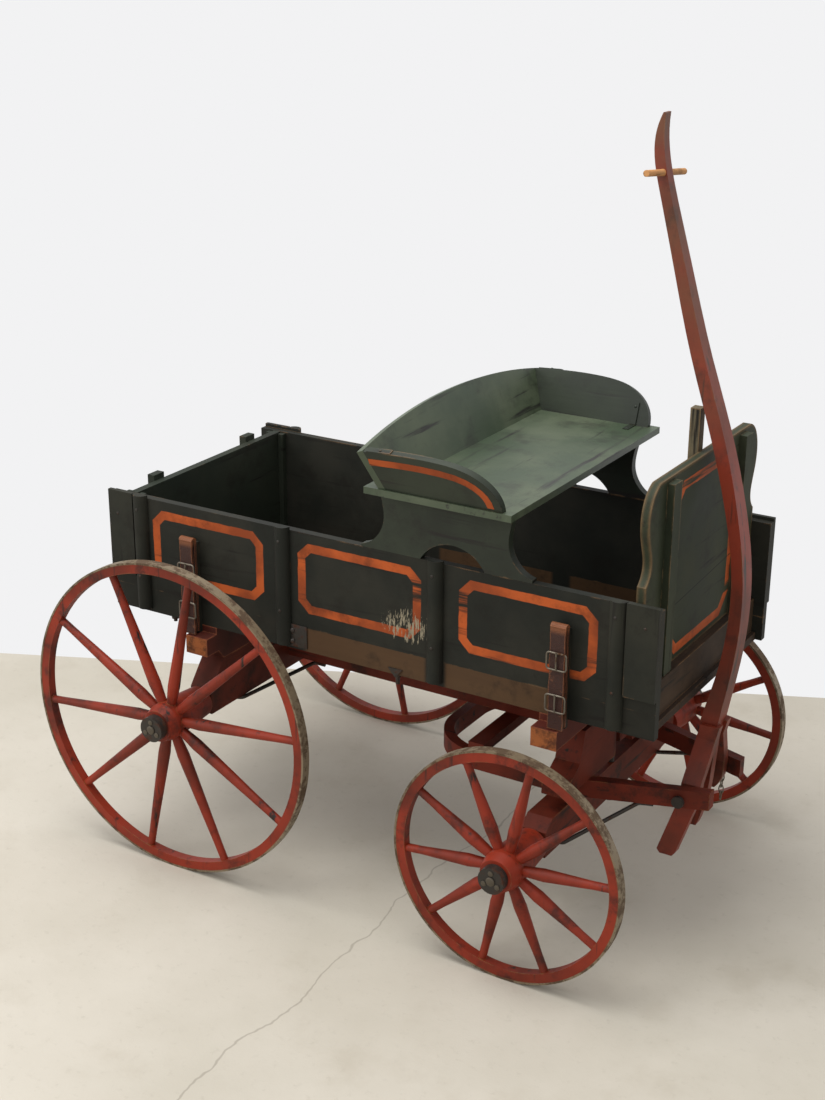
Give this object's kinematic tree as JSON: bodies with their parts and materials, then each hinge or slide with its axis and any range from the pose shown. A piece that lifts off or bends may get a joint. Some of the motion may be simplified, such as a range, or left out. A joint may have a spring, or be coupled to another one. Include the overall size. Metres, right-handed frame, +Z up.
{
  "type": "goat wagon",
  "caption": "Small wooden box wagon with a leaning seat, steered front gear, spoked wheels and a standing tongue.",
  "frame": {"origin": "on the ground under the middle of the wagon's length and width", "axes": "+X forwards, +Y to the wagon's left, +Z up"},
  "size_m": [1.0494, 0.7006, 1.172],
  "materials": {
    "box_green": "old near-black green paint on wood",
    "seat_green": "worn grey-green paint on wood",
    "worn_wood": "bare worn brown wood",
    "gear_red": "worn brick red paint on wood",
    "tongue_brown": "worn red-brown paint on wood",
    "bare_wood": "raw turned dowel",
    "black_iron": "dark rusty iron",
    "tyre_steel": "worn grey-tan steel hoop",
    "strap_leather": "cracked dark brown leather"
  },
  "bodies": {
    "wagon_box": {"side_left": "box_green", "side_right": "box_green", "side_cleats_left": "box_green", "side_cleats_right": "box_green", "tailgate_guides": "box_green", "dash": "box_green", "dash_cleats": "box_green", "dash_post": "box_green", "stakes": "box_green", "seat_board": "seat_green", "seat_risers": "seat_green", "seat_arms": "seat_green", "seat_back": "seat_green", "floor_boards": "worn_wood", "side_sills": "worn_wood", "front_sill": "worn_wood", "rear_axle": "gear_red", "rear_bolster": "gear_red", "reach": "gear_red", "front_bolster": "gear_red", "rear_axle_irons": "black_iron", "reach_braces": "black_iron", "kingpin": "black_iron", "upper_turning_plate": "black_iron", "front_straps": "strap_leather", "rear_straps": "strap_leather"},
    "tailgate": {"tailgate": "box_green"},
    "front_gear": {"front_axle": "gear_red", "front_axle_irons": "black_iron", "hounds": "gear_red", "slider_bar": "gear_red", "sandboard": "gear_red", "lower_turning_plate": "black_iron", "hound_braces": "black_iron", "tongue_bolt": "black_iron"},
    "tongue": {"tongue_pole": "tongue_brown", "tongue_leg_left": "tongue_brown", "tongue_leg_right": "tongue_brown", "handle": "bare_wood"},
    "wheel_front_left_body": {"wheel_front_left": "gear_red", "tyre_front_left": "tyre_steel"},
    "wheel_front_right_body": {"wheel_front_right": "gear_red", "tyre_front_right": "tyre_steel"},
    "wheel_rear_left_body": {"wheel_rear_left": "gear_red", "tyre_rear_left": "tyre_steel"},
    "wheel_rear_right_body": {"wheel_rear_right": "gear_red", "tyre_rear_right": "tyre_steel"}
  },
  "joints": [
    {"name": "steering", "type": "hinge", "parent": "wagon_box", "child": "front_gear", "pos_m": [0.335, 0, 0.33], "axis": [0, 0, 1], "range_deg": [-15, 15]},
    {"name": "tongue_hinge", "type": "hinge", "parent": "front_gear", "child": "tongue", "pos_m": [0.481, 0, 0.224], "axis": [0, 1, 0], "range_deg": [0, 105]},
    {"name": "tailgate_lift", "type": "slide", "parent": "wagon_box", "child": "tailgate", "axis": [0, 0, 1], "range_m": [0, 0.16]},
    {"name": "wheel_front_left_spin", "type": "hinge", "parent": "front_gear", "child": "wheel_front_left_body", "pos_m": [0.321, 0.306, 0.178], "axis": [0, 1, 0], "continuous": true},
    {"name": "wheel_front_right_spin", "type": "hinge", "parent": "front_gear", "child": "wheel_front_right_body", "pos_m": [0.321, -0.306, 0.178], "axis": [0, 1, 0], "continuous": true},
    {"name": "wheel_rear_left_spin", "type": "hinge", "parent": "wagon_box", "child": "wheel_rear_left_body", "pos_m": [-0.267, 0.306, 0.254], "axis": [0, 1, 0], "continuous": true},
    {"name": "wheel_rear_right_spin", "type": "hinge", "parent": "wagon_box", "child": "wheel_rear_right_body", "pos_m": [-0.267, -0.306, 0.254], "axis": [0, 1, 0], "continuous": true}
  ]
}
